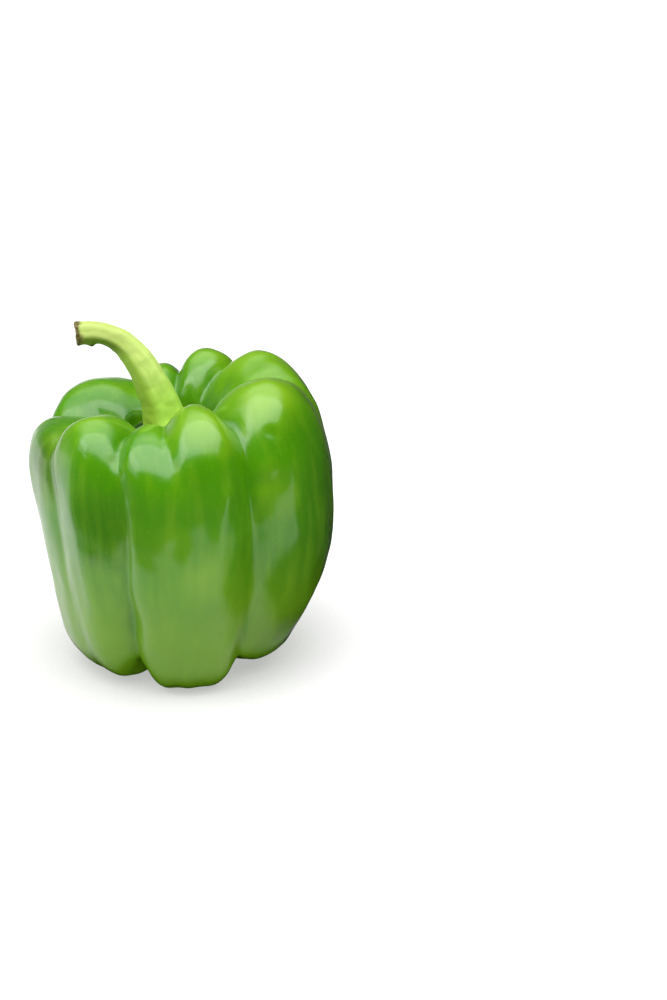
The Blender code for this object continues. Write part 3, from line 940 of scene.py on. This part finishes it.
def light_room():
    """The room as the waxy skin mirrors it: bright above, behind and to the left, dim elsewhere."""
    world = bpy.data.worlds.new("studio room")
    bpy.context.scene.world = world
    world.use_nodes = True
    tree = world.node_tree
    tree.nodes.clear()
    output = put(tree, "ShaderNodeOutputWorld")
    toward = put(tree, "ShaderNodeTexCoord").outputs["Generated"]
    axes = put(tree, "ShaderNodeSeparateXYZ", {0: toward})
    diagonal = put(tree, "ShaderNodeMath", {0: axes.outputs["Y"], 1: axes.outputs["X"]}, operation="SUBTRACT")
    behind = put(
        tree,
        "ShaderNodeMapRange",
        {"Value": diagonal.outputs[0], "From Min": 0.5, "From Max": 1.2, "To Max": 0.28},
        interpolation_type="SMOOTHSTEP",
    )
    low = put(
        tree,
        "ShaderNodeMapRange",
        {"Value": axes.outputs["Z"], "From Min": 0.12, "From Max": 0.3, "To Min": 1.0, "To Max": 0.25},
        interpolation_type="SMOOTHSTEP",
    )
    wall = put(tree, "ShaderNodeMath", {0: behind.outputs[0], 1: low.outputs[0]}, operation="MULTIPLY")
    above = put(
        tree,
        "ShaderNodeMapRange",
        {"Value": axes.outputs["Z"], "From Min": 0.5, "From Max": 0.9, "To Max": 1.7},
        interpolation_type="SMOOTHSTEP",
    )
    glow = put(tree, "ShaderNodeMath", {0: wall.outputs[0], 1: above.outputs[0]}, operation="MAXIMUM")
    strength = put(tree, "ShaderNodeMath", {0: glow.outputs[0], 1: 0.02}, operation="ADD")
    room = put(tree, "ShaderNodeBackground", {"Color": linear(WHITE), "Strength": strength.outputs[0]})
    backdrop = put(tree, "ShaderNodeBackground", {"Color": linear(WHITE), "Strength": 1.0})
    ray = put(tree, "ShaderNodeLightPath")
    shown = put(
        tree,
        "ShaderNodeMixShader",
        {0: ray.outputs["Is Camera Ray"], 1: room.outputs[0], 2: backdrop.outputs[0]},
    )
    tree.links.new(shown.outputs[0], output.inputs["Surface"])


def add_softbox(box):
    """A soft rectangular light that faces its target."""
    bpy.ops.object.light_add(type="AREA", location=box.place)
    light = bpy.context.active_object
    light.name = light.data.name = box.name
    light.data.shape = "RECTANGLE"
    light.data.size = box.width
    light.data.size_y = box.height
    light.data.energy = box.power
    light.rotation_euler = (Vector(box.target) - Vector(box.place)).to_track_quat("-Z", "Y").to_euler()


class PEPPER_OT_stage(bpy.types.Operator):
    """Set the camera, the floor and the lights"""

    bl_idname = "pepper.stage"
    bl_label = "Stage"

    def execute(self, context):
        settings = context.scene.pepper_stage
        bpy.ops.object.select_all(action="DESELECT")
        back = Vector((0.0, -math.cos(settings.elevation), math.sin(settings.elevation)))
        place = PEPPER_MIDDLE + back * settings.distance
        turn = (Vector(settings.look_at) - place).to_track_quat("-Z", "Y").to_euler()
        bpy.ops.object.camera_add(location=place, rotation=turn)
        camera = bpy.context.active_object
        camera.name = "camera"
        camera.data.sensor_width = SENSOR
        camera.data.lens = settings.lens
        context.scene.camera = camera

        board = floor_material(settings)
        add_floor("near_floor", NEAR_FLOOR, height=0.0, material=board, mirrored=True)
        reach = FLOOR_REACH
        square = [(-reach, -reach), (reach, -reach), (reach, reach), (-reach, reach)]
        add_floor("floor", square, height=-FLOOR_STEP, material=board, mirrored=False)
        for box in SOFTBOXES:
            add_softbox(box)
        light_room()
        context.scene.view_settings.view_transform = "Standard"
        context.scene.view_settings.look = "None"
        return {"FINISHED"}


class PEPPER_PT_panel(bpy.types.Panel):
    """Lists the pieces of the pepper and their settings"""

    bl_idname = "PEPPER_PT_panel"
    bl_label = "Bell Pepper"
    bl_space_type = "VIEW_3D"
    bl_region_type = "UI"
    bl_category = "Bell Pepper"

    def draw(self, context):
        for operator in OPERATORS:
            self.layout.operator(operator.bl_idname)
        for name, group in SETTINGS.items():
            box = self.layout.box()
            for setting in group.__annotations__:
                box.prop(getattr(context.scene, name), setting)


OPERATORS = (PEPPER_OT_fruit, PEPPER_OT_blossom_scar, PEPPER_OT_calyx, PEPPER_OT_stem, PEPPER_OT_stage)
SETTINGS = {
    "pepper_fruit": FruitSettings,
    "pepper_scar": ScarSettings,
    "pepper_calyx": CalyxSettings,
    "pepper_stem": StemSettings,
    "pepper_stage": StageSettings,
}


def register():
    for group in SETTINGS.values():
        bpy.utils.register_class(group)
    for kind in (*OPERATORS, PEPPER_PT_panel):
        bpy.utils.register_class(kind)
    for name, group in SETTINGS.items():
        setattr(bpy.types.Scene, name, PointerProperty(type=group))


def unregister():
    for name in SETTINGS:
        delattr(bpy.types.Scene, name)
    for kind in (PEPPER_PT_panel, *reversed(OPERATORS)):
        bpy.utils.unregister_class(kind)
    for group in reversed(list(SETTINGS.values())):
        bpy.utils.unregister_class(group)


def main():
    register()
    bpy.ops.pepper.stage()
    bpy.ops.pepper.fruit()
    bpy.ops.pepper.blossom_scar()
    bpy.ops.pepper.calyx()
    bpy.ops.pepper.stem()


if __name__ == "__main__":
    main()
